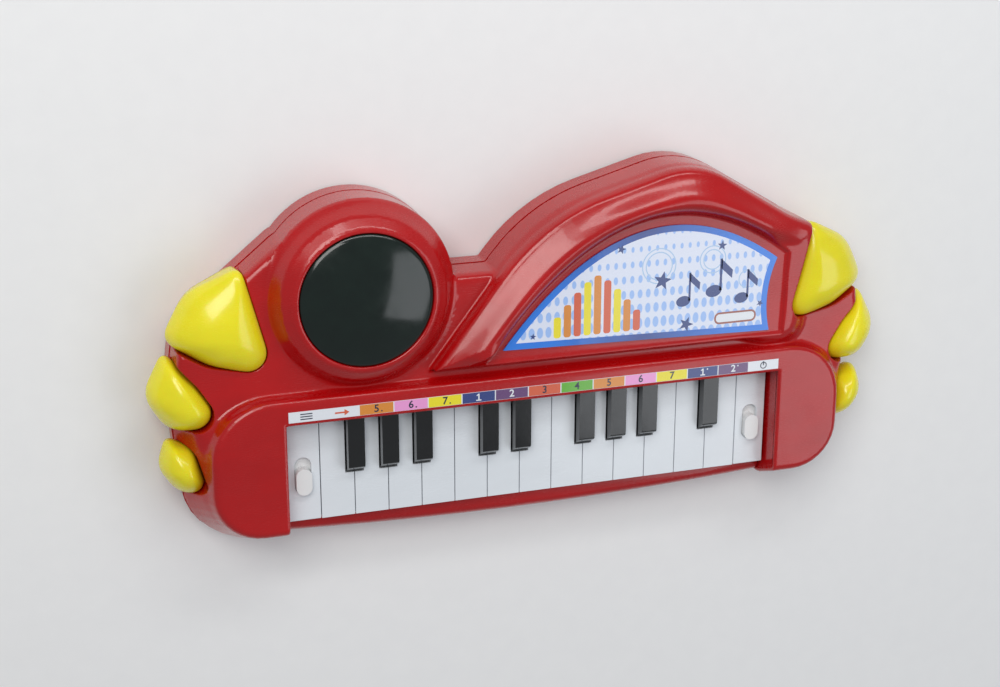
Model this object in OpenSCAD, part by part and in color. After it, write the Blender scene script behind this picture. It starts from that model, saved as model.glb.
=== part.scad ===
// Toy electronic keyboard: a red two-shell case with an arched label panel, a round smoky
// window over coloured lamps, six yellow claw trims, thirteen white and nine black keys on a
// hinge rod, two slide switches and a battery bay in the base.
// X runs along the keys, +Y away from the player, +Z up. The origin is at the middle of the
// footprint, on the surface that the feet stand on.

/* [Case] */
// Width of the case at its base, without the claw trims
case_w = 374; // [370:1:380]
// Depth of the case
case_d = 184; // [183:0.5:186]
// Height of the ordinary top surface
body_top = 32; // [31.5:0.5:33]
// Height of the deck that frames the keys
deck_top = 40; // [39.5:0.5:41]
// Height of the crest of the arch
arch_top = 47; // [46:0.5:49]
// Height of the joint between the two shells
seam_z = 13; // [12:0.5:14]
// Wall thickness of both shells
wall = 2.4; // [2:0.1:2.8]

/* [Keys] */
// Distance between neighbouring white keys
key_pitch = 17.6; // [17.4:0.1:17.7]
// Gap between neighbouring keys
key_gap = 0.5; // [0.4:0.1:0.8]
// Height of the white keys' tops
white_top = 27; // [26.5:0.5:28]
// Height of the black keys' tops
black_top = 33; // [32:0.5:33.5]
// Width of a black key
black_w = 8.6; // [8:0.1:9]
// Radius of the hinge rod
rod_r = 1.5; // [1.4:0.1:1.8]

/* [Window] */
// Visible radius of the round window
window_r = 33; // [32:0.5:34]
// Height of the window's crown
window_top = 50; // [49:0.5:51]

/* [Battery] */
// Radius of a battery cell
cell_r = 7.1; // [7:0.1:7.2]
// Length of a battery cell
cell_l = 50.5; // [49.5:0.5:51]

/* [Hidden] */
$fn = 48;
curve_n = 14;       // steps in one long curve
corner_n = 7;       // steps in one rounded corner
case_x = case_w / 2;
front_y = -case_d / 2;
back_y = case_d / 2;
base_z = 1.5;       // underside of the lower case, above the feet's soles
floor_t = 2.2;      // thickness of the lower case's floor
floor_z = base_z + floor_t;
fit = 0.15;         // gap round a fixed piece
move_gap = 0.4;     // gap round a moving piece

white_count = 13;
black_after = [1, 2, 3, 5, 6, 8, 9, 10, 12];
key_front = -78.6;
key_back = -18;
deck_edge = -23;    // front edge of the deck over the keys
black_front = -55;
key_w = key_pitch - key_gap;
bed_x = 7.5 * key_pitch;
well_x = bed_x + 0.8;
lip_reach = bed_x - 2;
lip_bow = 4;        // how far the lip bows out at its middle
rod_y = -4;
rod_z = 18;
rod_half = bed_x - 10;
white_tail_w = 7;
black_tail_w = 5;
tail_r = rod_r + 2.3;
white_plate = 2.5;
white_skirt_z = 16.5;
plunger_y = -40;
plunger_z = 14.6;
contact_z = 8;      // underside of the key contact board
board_t = 1.6;
switch_x = 7 * key_pitch;
slot_w = 8.5;
slot_l = 19;
slot_y = -54.5;
knob_w = 8;
knob_l = 14;
knob_top = 30;
knob_travel = 5;

window_x = -92.3;
window_y = 38.3;
collar_r = 48;
recess_z = 38;      // floor of the arch's recess, which the label lies on
lamp_z = 26;        // underside of the light board
main_z = 12;        // underside of the main board

speaker_x = 28;
speaker_y = 40;
speaker_r = 25;
cell_count = 3;
cell_pitch = 2 * cell_r + 1;
bay_x = 64;         // left end of the battery bay
bay_l = cell_l + 9;
bay_y = 9;          // front of the battery bay
bay_w = cell_count * cell_pitch + 1.6;
cell_z = floor_z + 0.6 + cell_r;
bay_top = cell_z + cell_r + 0.8;
door_t = floor_t - 0.2;
door_pin_r = 0.9;
door_pin_y = bay_y + bay_w - 1.6;
door_pin_z = base_z + door_t / 2;
lug_w = 12;
lug_x = bay_x + bay_l / 2;
lug_y = bay_y - 5;  // place of the screw that holds the door shut

boss_r = 3.6;
screw_r = 1.4;
// Where each case screw stands, and the height that its boss in the upper case reaches.
screw_spots = [
    [-150, -70, deck_top - wall], [150, -70, deck_top - wall], [-146, -8, body_top - wall],
    [146, -8, body_top - wall], [-52, 6, body_top - wall], [4, 8, recess_z - wall],
    [58, 76, arch_top - wall - 2], [-92, 79, body_top + 1]
];
foot_r = 6;
foot_h = 3;
foot_spots = [[-150, -48], [150, -48], [-150, 22], [146, 30], [0, -66]];

trims = ["upper", "middle", "lower"];
sides = ["left", "right"];

function two_digits(i) = str(i < 10 ? "0" : "", i);
WHITE_KEYS = [for (i = [1:white_count]) str("white_key_", two_digits(i))];
BLACK_KEYS = [for (i = [1:len(black_after)]) str("black_key_", two_digits(i))];
CLAWS = [for (s = sides, t = trims) str(s, "_claw_", t)];

red = [0.62, 0.04, 0.05];
yellow = [0.95, 0.87, 0.12];
white = [0.93, 0.94, 0.95];
black = [0.05, 0.06, 0.06];
steel = [0.75, 0.75, 0.77];
board_green = [0.1, 0.35, 0.18];

// ---- curves ----

function unit(v) = v / norm(v);
function turn(a) = a > 180 ? a - 360 : a < -180 ? a + 360 : a;

// The points of a corner p between neighbours a and b, rounded to radius r.
function corner(a, p, b, r) =
    let (u = unit(a - p), v = unit(b - p), half = acos(u * v) / 2)
    let (c = p + unit(u + v) * r / sin(half), t = r / tan(half))
    let (s = p + u * t - c, e = p + v * t - c)
    let (a0 = atan2(s[1], s[0]), da = turn(atan2(e[1], e[0]) - a0))
    [for (i = [0:corner_n]) c + r * [cos(a0 + da * i / corner_n), sin(a0 + da * i / corner_n)]];

// A closed outline from [x, y, corner radius] points; a radius of 0 keeps the corner sharp.
function rounded(p) = [
    for (i = [0:len(p) - 1])
        let (n = len(p), q = p[i], a = p[(i + n - 1) % n], b = p[(i + 1) % n])
        each (q[2] == 0 ? [[q[0], q[1]]] :
            corner([a[0], a[1]], [q[0], q[1]], [b[0], b[1]], q[2]))
];

// A cubic curve from p to s, drawn towards q and r.
function curve(p, q, r, s) = [
    for (i = [0:curve_n])
        let (t = i / curve_n, k = 1 - t)
        k * k * k * p + 3 * k * k * t * q + 3 * k * t * t * r + t * t * t * s
];

// ---- plans ----

module case_plan() {
    polygon(rounded([
        [-case_x + 8, front_y + 4, 32], [case_x - 8, front_y + 4, 32],
        [case_x, -8, 60], [case_x - 5, 26, 22], [150, 56, 14],
        [81.9, back_y + 4.1, 48], [-0.85, 72.5, 95], [-23, 44.5, 2],
        [-60, 44.5, 0], [window_x, window_y, 0], [-126, 72, 10],
        [-153, 50, 12], [-case_x + 5, 26, 22], [-case_x, -8, 60]
    ]));
    translate([window_x, window_y]) circle(r = collar_r);
    front_lip_plan();
}

// The lip bows towards the player between the arms.
function lip_r() = (lip_reach * lip_reach + lip_bow * lip_bow) / (2 * lip_bow);

module front_lip_plan() {
    r = lip_r();
    intersection() {
        translate([0, front_y + r]) circle(r = r, $fn = 360);
        translate([-lip_reach, front_y]) square([2 * lip_reach, 12]);
    }
}

module deck_plan() {
    polygon(rounded([[-169, -80, 24], [169, -80, 24], [169, -10, 30], [-169, -10, 30]]));
}

module arch_plan() {
    polygon(rounded([
        [-58, -3.5, 0], [140, -3.5, 8], [150, 53.2, 6], [81.9, back_y + 2.1, 45], [-0.85, 70.4, 110]
    ]));
}

module recess_plan() {
    top = curve([134.5, 42], [80, 83.5], [26, 76.5], [-30, -1]);
    polygon(concat([for (p = top) p], [[133, -1]]));
}

module label_plan() {
    top = curve([129, 40], [78.8, 76.3], [28.2, 69.1], [-21.8, 4.3]);
    right = curve([126, 0.7], [122.5, 14], [123.5, 28], [129, 40]);
    polygon(concat([for (p = top) p], [for (p = right) p]));
}

module well_plan() {
    translate([-well_x, front_y - 1]) square([2 * well_x, deck_edge - front_y + 1]);
}

// Outline of one right-hand claw trim, the foot of its crown, and its underside, the level of
// its widest place on the outer side and on the inner side, and its top.
function claw_outline(t) =
    t == "upper" ? rounded([[136, 1.5, 9], [168, 8.5, 24], [189, 21, 7], [177, 44, 22],
        [150.5, 57, 3], [143.5, 30, 60]]) :
    t == "middle" ? rounded([[160, -24, 9], [188, -25, 12], [199, -6, 14], [188, 15.5, 3],
        [174, -1, 18]]) :
    rounded([[170, -58, 6], [184, -59, 12], [194, -44, 12], [189, -29, 3], [176, -36, 8]]);
function claw_centre(t) = t == "upper" ? [156, 23] : t == "middle" ? [176, -12] : [180, -45];
function claw_levels(t) = t == "upper" ? [17, 21, 31, 41] : t == "middle" ? [15, 19, 30, 38] :
    [14.5, 18, 27, 33];
claw_reach = [150, 36]; // the widest place sinks outwards from here, over this length

module claw_area(t, grow) {
    offset(delta = grow) polygon(claw_outline(t));
}

module both_sides() {
    children();
    mirror([1, 0, 0]) children();
}

// ---- case ----

module upper_case() {
    color(red) difference() {
        union() {
            difference() {
                upper_outside();
                upper_inside();
            }
            claw_seats();
            arm_walls();
            for (p = screw_spots) translate([p[0], p[1], seam_z + 0.2])
                cylinder(r = boss_r, h = p[2] - seam_z);
        }
        translate([0, 0, seam_z - 1]) linear_extrude(50) well_plan();
        both_sides() for (t = trims) translate([0, 0, claw_levels(t)[0] - fit])
            linear_extrude(50) claw_area(t, fit);
        for (p = screw_spots) translate([p[0], p[1], seam_z - 1])
            cylinder(r = screw_r + 0.05, h = 14);
        translate([window_x, window_y, seam_z]) cylinder(r = window_r + 0.2, h = 50);
        translate([0, 0, recess_z]) linear_extrude(20) recess_plan();
    }
}

module upper_outside() {
    edge = 2;
    translate([0, 0, seam_z]) linear_extrude(body_top - seam_z - edge) case_plan();
    translate([0, 0, seam_z]) linear_extrude(body_top - seam_z) offset(delta = -edge) case_plan();
    translate([0, 0, seam_z]) linear_extrude(deck_top - seam_z - edge) deck_plan();
    translate([0, 0, seam_z]) linear_extrude(deck_top - seam_z) offset(delta = -edge) deck_plan();
    translate([0, 0, seam_z]) linear_extrude(arch_top - seam_z - 5) arch_plan();
    translate([0, 0, seam_z]) linear_extrude(arch_top - seam_z - edge) offset(delta = -5) arch_plan();
    translate([0, 0, seam_z]) linear_extrude(arch_top - seam_z) offset(delta = -8) arch_plan();
    collar();
}

// The collar slopes from a narrow lip round the window down to the case's top surface.
module collar() {
    lip_z = window_top - 6;
    translate([window_x, window_y, 0]) rotate_extrude() polygon([
        [window_r, body_top - 3], [window_r, lip_z], [window_r + 2.5, lip_z + 0.4],
        [window_r + 8, lip_z - 4], [window_r + 11.5, body_top + 2], [collar_r, body_top],
        [collar_r, body_top - 3]
    ]);
}

module upper_inside() {
    low = seam_z - 1;
    translate([0, 0, low]) linear_extrude(body_top - wall - low) offset(delta = -wall) case_plan();
    translate([0, 0, low]) linear_extrude(deck_top - wall - low)
        offset(delta = -wall - 2) deck_plan();
    translate([0, 0, low]) linear_extrude(recess_z - wall - low)
        offset(delta = -wall - 3) arch_plan();
    translate([0, 0, low]) linear_extrude(arch_top - wall - 2 - low) difference() {
        offset(delta = -wall - 6) arch_plan();
        offset(delta = wall) recess_plan();
    }
    translate([window_x, window_y, low]) cylinder(r1 = collar_r - 4, r2 = collar_r - 4,
        h = body_top - 2 - low);
    translate([window_x, window_y, body_top - 2.1]) cylinder(r1 = collar_r - 4, r2 = window_r + 4.6,
        h = 9.1);
}

// The inner wall of each arm stands beside the key well.
module arm_walls() {
    intersection() {
        both_sides() translate([well_x - 1, front_y, seam_z])
            cube([wall + 1, deck_edge - front_y + 12, deck_top - seam_z]);
        union() {
            translate([0, 0, seam_z]) linear_extrude(body_top - seam_z - 3) case_plan();
            translate([0, 0, seam_z]) linear_extrude(deck_top - seam_z - 1) offset(delta = -1) deck_plan();
        }
    }
}

// Each claw stands in a seat with a floor and a wall of the case's thickness.
module claw_seats() {
    both_sides() for (t = trims) intersection() {
        translate([0, 0, claw_levels(t)[0] - 2]) linear_extrude(50) claw_area(t, 1.8);
        translate([0, 0, seam_z]) linear_extrude(body_top - seam_z - 2) case_plan();
    }
}

module lower_case() {
    color(red) difference() {
        union() {
            difference() {
                translate([0, 0, base_z]) linear_extrude(seam_z - base_z) case_plan();
                translate([0, 0, floor_z]) linear_extrude(20) offset(delta = -wall) case_plan();
            }
            front_lip();
            for (p = screw_spots) translate([p[0], p[1], base_z])
                cylinder(r = boss_r, h = seam_z - base_z);
            bay_walls();
            rod_posts();
            for (x = [-108, -36, 36, 108], y = [-50, -30]) translate([x, y, floor_z - 1])
                cylinder(r = 2.5, h = contact_z - floor_z + 1);
            for (x = [-39, -5], y = [13, 35]) translate([x, y, floor_z - 1])
                cylinder(r = 2, h = main_z - floor_z + 1);
            translate([window_x, window_y, floor_z - 1]) for (a = [45:90:315])
                rotate(a) translate([26, 0, 0]) cylinder(r = 2, h = lamp_z - floor_z + 1);
            translate([speaker_x, speaker_y, base_z]) ring(speaker_r + 2, speaker_r + 0.3, 6);
        }
        for (p = screw_spots) translate([p[0], p[1], base_z - 1]) {
            cylinder(r = screw_r + 0.2, h = 20);
            cylinder(r = 3.1, h = 5);
        }
        for (p = foot_spots) translate([p[0], p[1], base_z - 1])
            cylinder(r = foot_r + fit, h = foot_h - base_z + 1);
        grille();
        battery_opening();
    }
}

module ring(outer, inner, h) {
    difference() {
        cylinder(r = outer, h = h);
        translate([0, 0, -1]) cylinder(r = inner, h = h + 2);
    }
}

// A rounded nose along the front, in front of the keys and below their tops: its profile is
// swept along the bowed lip, a hair behind the tray's own wall.
module front_lip() {
    rise = 8;
    inset = 5.7;
    set_back = 0.3;
    steps = 6;
    count = 24;
    half = well_x - move_gap;
    r = lip_r();
    back = key_front - move_gap;
    places = [for (j = [0:count]) half * (2 * j / count - 1)];
    n = steps + 4;
    points = [for (x = places)
        let (y = front_y + set_back + r - sqrt(r * r - x * x))
        each concat([[x, back, seam_z - 1], [x, back, seam_z + rise]],
            [for (i = [steps:-1:0]) let (a = 90 * i / steps)
                [x, y + inset * (1 - cos(a)), seam_z + rise * sin(a)]],
            [[x, y, seam_z - 1]])];
    walls = [for (j = [0:count - 1], i = [0:n - 1])
        [j * n + i, (j + 1) * n + i, (j + 1) * n + (i + 1) % n, j * n + (i + 1) % n]];
    polyhedron(points, concat([[for (i = [0:n - 1]) i]], walls,
        [[for (i = [0:n - 1]) count * n + n - 1 - i]]));
}

// Ribs hold the hinge rod between the keys' tails and past its ends.
module rod_posts() {
    rib = 3;
    gaps = [-rod_half + 5.5, -2.5 * key_pitch, 0.5 * key_pitch, 4.5 * key_pitch, rod_half - 5.5];
    for (x = gaps) difference() {
        translate([x - rib / 2, rod_y - 4, floor_z - 1]) cube([rib, 8, rod_z + 4 - floor_z + 1]);
        translate([x, rod_y, rod_z]) rotate([0, 90, 0])
            cylinder(r = rod_r + 0.05, h = 3 * rib, center = true);
    }
}

module bay_walls() {
    difference() {
        translate([bay_x - 2, bay_y - 2, base_z]) cube([bay_l + 4, bay_w + 4, bay_top + 2 - base_z]);
        translate([bay_x, bay_y, base_z - 1]) cube([bay_l, bay_w, bay_top - base_z + 1]);
    }
    for (x = [bay_x - 6, bay_x + bay_l]) translate([x, door_pin_y - 3, base_z]) cube([6, 6, 5]);
    translate([lug_x - lug_w / 2 - 1, lug_y - 5, floor_z]) cube([lug_w + 2, 9, 5.5]);
}

// The way through the floor to the cells, with sockets for the door's hinge pins.
module battery_opening() {
    translate([bay_x, bay_y, base_z - 1]) cube([bay_l, bay_w, floor_t + 2]);
    translate([bay_x - 4, door_pin_y, door_pin_z]) rotate([0, 90, 0])
        cylinder(r = door_pin_r + 0.08, h = bay_l + 8);
    translate([lug_x - lug_w / 2, lug_y - 4, base_z - 1]) cube([lug_w, 10, floor_t + 1]);
    translate([lug_x, lug_y, base_z]) cylinder(r = screw_r + 0.25, h = 6.5);
}

module grille() {
    hole_r = 1.6;
    translate([speaker_x, speaker_y, base_z - 1]) {
        cylinder(r = hole_r, h = 5);
        for (k = [1:3], i = [0:6 * k - 1]) rotate(i * 60 / k) translate([6 * k, 0, 0])
            cylinder(r = hole_r, h = 5);
    }
}

module rubber_feet() {
    color([0.15, 0.15, 0.15]) for (p = foot_spots) translate([p[0], p[1], 0])
        cylinder(r = foot_r, h = foot_h);
}

module case_screws() {
    color(steel) for (p = screw_spots) translate([p[0], p[1], base_z]) {
        translate([0, 0, 2.2]) cylinder(r = 2.8, h = 1.8);
        translate([0, 0, 3.9]) cylinder(r = screw_r, h = 17);
    }
}

// ---- claws ----

// A closed bulging solid over an outline: straight-sided at the bottom, crowned on top.
module pillow(outline, c, levels) {
    n = len(outline);
    crown = 6;
    last = 84;
    z0 = levels[0];
    // Each ring is its scale about the centre and its height between the widest place and the top.
    rings = [for (i = [0:crown]) [cos(i * last / crown), sin(i * last / crown) / sin(last)]];
    wide = [for (p = outline)
        let (out = min(1, max(0, (p[0] - claw_reach[0]) / claw_reach[1])))
        levels[2] + (levels[1] - levels[2]) * out];
    m = crown + 2;
    points = concat(
        [for (p = outline) [c[0] + (p[0] - c[0]) * 0.97, c[1] + (p[1] - c[1]) * 0.97, z0]],
        [for (k = rings, i = [0:n - 1])
            let (p = outline[i])
            [c[0] + (p[0] - c[0]) * k[0], c[1] + (p[1] - c[1]) * k[0],
                wide[i] + (levels[3] - wide[i]) * k[1]]]
    );
    walls = [for (j = [0:m - 2], i = [0:n - 1])
        [j * n + i, (j + 1) * n + i, (j + 1) * n + (i + 1) % n, j * n + (i + 1) % n]];
    polyhedron(points, concat([[for (i = [0:n - 1]) i]], walls,
        [[for (i = [0:n - 1]) (m - 1) * n + n - 1 - i]]));
}

module claw(side, t) {
    color(yellow) mirror([side == "left" ? 1 : 0, 0, 0])
        pillow(claw_outline(t), claw_centre(t), claw_levels(t));
}

// ---- window and lamps ----

module round_window() {
    rim_z = window_top - 8;
    rise = 6;
    shell = 1.8;
    r = (window_r * window_r + rise * rise) / (2 * rise);
    half = asin(window_r / r);
    crown = [for (i = [0:10]) r * [sin(half * i / 10), cos(half * i / 10)] + [0, window_top - r]];
    inner = [for (i = [10:-1:0]) (r - shell) * [sin(half * i / 10), cos(half * i / 10)]
        + [0, window_top - r]];
    color([0.05, 0.09, 0.08, 0.6]) translate([window_x, window_y, 0]) rotate_extrude($fn = 96)
        polygon(concat(crown, [[window_r, rim_z - 4.8], [window_r - 2, rim_z - 4.8]], inner));
}

module light_board() {
    color(board_green) translate([window_x, window_y, lamp_z]) cylinder(r = 30, h = board_t);
}

module lamp_leds() {
    for (i = [0:5]) color(i % 3 == 0 ? red : i % 3 == 1 ? yellow : [0.1, 0.6, 0.2])
        translate([window_x + 17 * cos(60 * i), window_y + 17 * sin(60 * i), lamp_z + board_t]) {
            cylinder(r = 2.9, h = 1);
            cylinder(r = 2.5, h = 5.5);
            translate([0, 0, 5.5]) intersection() {
                sphere(r = 2.5);
                cylinder(r = 3, h = 3);
            }
        }
}

// ---- printed pieces ----

module label_panel() {
    color([0.86, 0.9, 0.96]) translate([0, 0, recess_z]) linear_extrude(0.8) label_plan();
}

module note_strip() {
    color(white) translate([-bed_x, deck_edge + 2, deck_top]) cube([2 * bed_x, 5.5, 0.3]);
}

// ---- switches ----

module slot_shape(w, l, h) {
    linear_extrude(h) {
        square([w, l - w], center = true);
        for (s = [-1, 1]) translate([0, s * (l - w) / 2]) circle(r = w / 2);
    }
}

module switch_panel(s) {
    color(white) translate([s * switch_x, 0, 0]) difference() {
        translate([-key_w / 2, key_front, white_skirt_z])
            cube([key_w, key_back - key_front, white_top - white_skirt_z]);
        translate([-key_w / 2 + 1.6, key_front + 2, white_skirt_z - 1])
            cube([key_w - 3.2, key_back - key_front, white_top - white_plate - white_skirt_z + 1]);
        translate([0, slot_y, white_top - 10]) slot_shape(slot_w, slot_l, 20);
    }
}

// A knob rests at the end of its slot nearest the player, over its switch's lever.
module switch_knob(s) {
    under = white_top - white_plate;
    color(white) translate([s * switch_x, slot_y - knob_travel / 2, 0]) difference() {
        union() {
            translate([0, 0, under - 0.5]) slot_shape(knob_w, knob_l, knob_top - under + 0.5);
            translate([-6, -12.5, under - 1.7]) cube([12, 25, 1.5]);
        }
        translate([-2.1, -2.1, under - 2]) cube([4.2, 4.2, 3]);
    }
}

module switch_body(s) {
    top = contact_z + board_t;
    color(steel) translate([s * switch_x, slot_y, 0]) difference() {
        translate([-4.5, -10, top]) cube([9, 20, 6.4]);
        translate([-2.3, -5.2, top + 1.4]) cube([4.6, 10.4, 6]);
    }
}

module switch_lever(s) {
    foot = contact_z + board_t + 1.8;
    color(black) translate([s * switch_x - 2, slot_y - knob_travel / 2 - 2, foot])
        cube([4, 4, white_top - white_plate + 0.4 - foot]);
}

// ---- keys ----

function white_x(i) = (i - 7) * key_pitch;
function black_x(i) = white_x(black_after[i - 1]) + key_pitch / 2;
function has_black_after(i) = len(search(i, black_after)) > 0;

// A white key: a thin-walled top with notches for its black neighbours, a stem and an eye.
module white_key(i) {
    notch = black_w / 2 + 0.5;
    plate_z = white_top - white_plate;
    color(white) translate([white_x(i), 0, 0]) difference() {
        union() {
            difference() {
                translate([-key_w / 2, key_front, white_skirt_z])
                    cube([key_w, key_back - key_front, white_top - white_skirt_z]);
                translate([-key_w / 2 + 1.4, key_front + 2, white_skirt_z - 1])
                    cube([key_w - 2.8, black_front - key_front - 4, plate_z - white_skirt_z + 1]);
                translate([-key_w, black_front - 2, white_skirt_z - 1])
                    cube([2 * key_w, 60, plate_z - white_skirt_z + 1]);
            }
            key_stem(white_tail_w, plate_z, black_front - 2.1);
        }
        if (has_black_after(i)) translate([key_pitch / 2 - notch, black_front - 0.6, 0])
            cube([20, 60, 60]);
        if (has_black_after(i - 1)) translate([-key_pitch / 2 + notch - 20, black_front - 0.6, 0])
            cube([20, 60, 60]);
        key_eye_bore();
    }
}

module black_key(i) {
    slope = 2.5;
    foot = black_top - 6;
    color(black) translate([black_x(i), 0, 0]) difference() {
        union() {
            translate([-black_w / 2, 0, 0]) rotate([90, 0, 90]) linear_extrude(black_w)
                polygon([[black_front, 19], [black_front, foot], [black_front + 1, foot + 1],
                    [black_front + 1 + slope, black_top - 0.6], [black_front + 2 + slope, black_top],
                    [key_back, black_top], [key_back, 19]]);
            key_stem(black_tail_w, 21, black_front + 0.5);
        }
        translate([-black_w / 2 + 1.5, black_front + 2.5, 18])
            cube([black_w - 3, -42 - black_front - 2.5, 10]);
        key_eye_bore();
    }
}

// The stem under a key, with its plunger over the contact board and the eye at its rear.
module key_stem(w, top, front) {
    translate([-w / 2, front, top - 6]) cube([w, rod_y - front, 6.1]);
    translate([0, plunger_y, plunger_z]) cylinder(r = 2.2, h = top - plunger_z);
    translate([-w / 2, rod_y, rod_z]) rotate([0, 90, 0]) cylinder(r = tail_r, h = w);
}

module key_eye_bore() {
    translate([-20, rod_y, rod_z]) rotate([0, 90, 0]) cylinder(r = rod_r + 0.06, h = 40);
}

module key_hinge_rod() {
    color(steel) translate([-rod_half, rod_y, rod_z]) rotate([0, 90, 0])
        cylinder(r = rod_r, h = 2 * rod_half);
}

module key_contact_board() {
    color(board_green) difference() {
        translate([-bed_x, -66, contact_z]) cube([2 * bed_x, 42, board_t]);
        for (x = [-108, -36, 36, 108], y = [-50, -30]) translate([x, y, contact_z - 1])
            cylinder(r = 1.2, h = 4);
    }
}

// One long pad with a hollow dome under every key's plunger.
module rubber_contacts() {
    top = contact_z + board_t;
    pad = 6.6 * key_pitch;
    places = concat([for (i = [1:white_count]) white_x(i)],
        [for (i = [1:len(black_after)]) black_x(i)]);
    color([0.55, 0.55, 0.58]) difference() {
        union() {
            translate([-pad, plunger_y - 6, top]) cube([2 * pad, 12, 1]);
            for (x = places) translate([x, plunger_y, top])
                cylinder(r1 = 3.8, r2 = 2.4, h = plunger_z - top - 0.1);
        }
        for (x = places) translate([x, plunger_y, top - 1]) cylinder(r1 = 3, r2 = 1.8, h = 4.4);
    }
}

module main_board() {
    color(board_green) translate([-42, 10, main_z]) cube([40, 28, board_t]);
    color(black) translate([-22, 24, main_z + board_t]) cylinder(r1 = 8, r2 = 5, h = 2);
    color(steel) for (x = [-37, -31]) translate([x, 33, main_z + board_t])
        cylinder(r = 2.5, h = 8);
}

// ---- speaker ----

module speaker_frame() {
    z = floor_z + 0.1;
    color(steel) translate([speaker_x, speaker_y, z]) rotate_extrude() polygon([
        [speaker_r - 3, 0], [speaker_r, 0], [speaker_r, 1.5], [speaker_r - 2, 1.5],
        [13.5, 10], [13.5, 11], [5, 11], [5, 9.8], [12.3, 9.8], [speaker_r - 3, 1.2]
    ]);
}

module speaker_cone() {
    z = floor_z + 0.3;
    color([0.2, 0.2, 0.22]) translate([speaker_x, speaker_y, z]) rotate_extrude() polygon([
        [0, 4.5], [4, 4], [5, 7.8], [21.6, 0.2], [21.6, 0.7], [4.8, 8.6], [3.4, 4.7], [0, 5.2]
    ]);
}

module speaker_magnet() {
    color([0.3, 0.3, 0.32]) translate([speaker_x, speaker_y, floor_z + 11.1])
        cylinder(r = 12, h = 6);
}

// ---- battery bay ----

module battery_cells() {
    for (i = [0:cell_count - 1]) {
        flip = i % 2;
        color([0.15, 0.3, 0.6]) translate([bay_x + 5, bay_y + 0.8 + cell_pitch * (i + 0.5), cell_z])
            rotate([0, 90, 0]) {
                translate([0, 0, flip == 0 ? 0 : 1.2]) cylinder(r = cell_r, h = cell_l - 1.2);
                translate([0, 0, flip == 0 ? cell_l - 1.3 : 0]) cylinder(r = 2.7, h = 1.3);
            }
    }
}

// A sheet contact at each end of each cell, standing against the bay's end walls.
module battery_contacts() {
    color(steel) for (i = [0:cell_count - 1]) {
        y = bay_y + 0.8 + cell_pitch * (i + 0.5) - 5;
        translate([bay_x + 0.1, y, cell_z - 5]) contact_leaf(0);
        translate([bay_x + bay_l - 0.6, y, cell_z - 5]) contact_leaf(1);
    }
}

module contact_leaf(e) {
    reach = e == 0 ? 4.5 : 3.1;
    cube([0.5, 10, 10]);
    translate([e == 0 ? 0.3 : 0.2 - reach, 5, 5]) rotate([0, 90, 0])
        cylinder(r1 = e == 0 ? 4 : 2.5, r2 = e == 0 ? 2.5 : 4, h = reach);
}

module battery_door() {
    gap = 0.35;
    color(red) difference() {
        union() {
            translate([bay_x + gap, bay_y + gap, base_z])
                cube([bay_l - 2 * gap, door_pin_y - bay_y - gap, door_t]);
            translate([bay_x + gap, door_pin_y, door_pin_z]) rotate([0, 90, 0])
                cylinder(r = door_t / 2, h = bay_l - 2 * gap);
            translate([bay_x - 3, door_pin_y, door_pin_z]) rotate([0, 90, 0])
                cylinder(r = door_pin_r, h = bay_l + 6);
            translate([lug_x - lug_w / 2 + gap, lug_y - 4 + gap, base_z])
                cube([lug_w - 2 * gap, 10, door_t]);
        }
        translate([lug_x, lug_y, base_z - 1]) cylinder(r = screw_r + fit, h = 5);
        translate([lug_x, lug_y, base_z - 1]) cylinder(r = 2.6, h = 1.9);
    }
}

module battery_door_screw() {
    color(steel) translate([lug_x, lug_y, base_z]) {
        cylinder(r = 2.4, h = 0.8);
        cylinder(r = screw_r, h = 5);
    }
}

// ---- the object ----

lower_case();
upper_case();
rubber_feet();
case_screws();
for (s = sides, t = trims) claw(s, t);
round_window();
light_board();
lamp_leds();
label_panel();
note_strip();
switch_panel(-1);  // left_switch_panel
switch_panel(1);  // right_switch_panel
switch_knob(-1);  // mode_switch_knob
switch_knob(1);  // power_switch_knob
switch_body(-1);  // mode_switch_body
switch_body(1);  // power_switch_body
switch_lever(-1);  // mode_switch_lever
switch_lever(1);  // power_switch_lever
for (i = [1:white_count]) white_key(i);
for (i = [1:len(black_after)]) black_key(i);
key_hinge_rod();
key_contact_board();
rubber_contacts();
main_board();
speaker_frame();
speaker_cone();
speaker_magnet();
battery_cells();
battery_contacts();
battery_door();
battery_door_screw();
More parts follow.
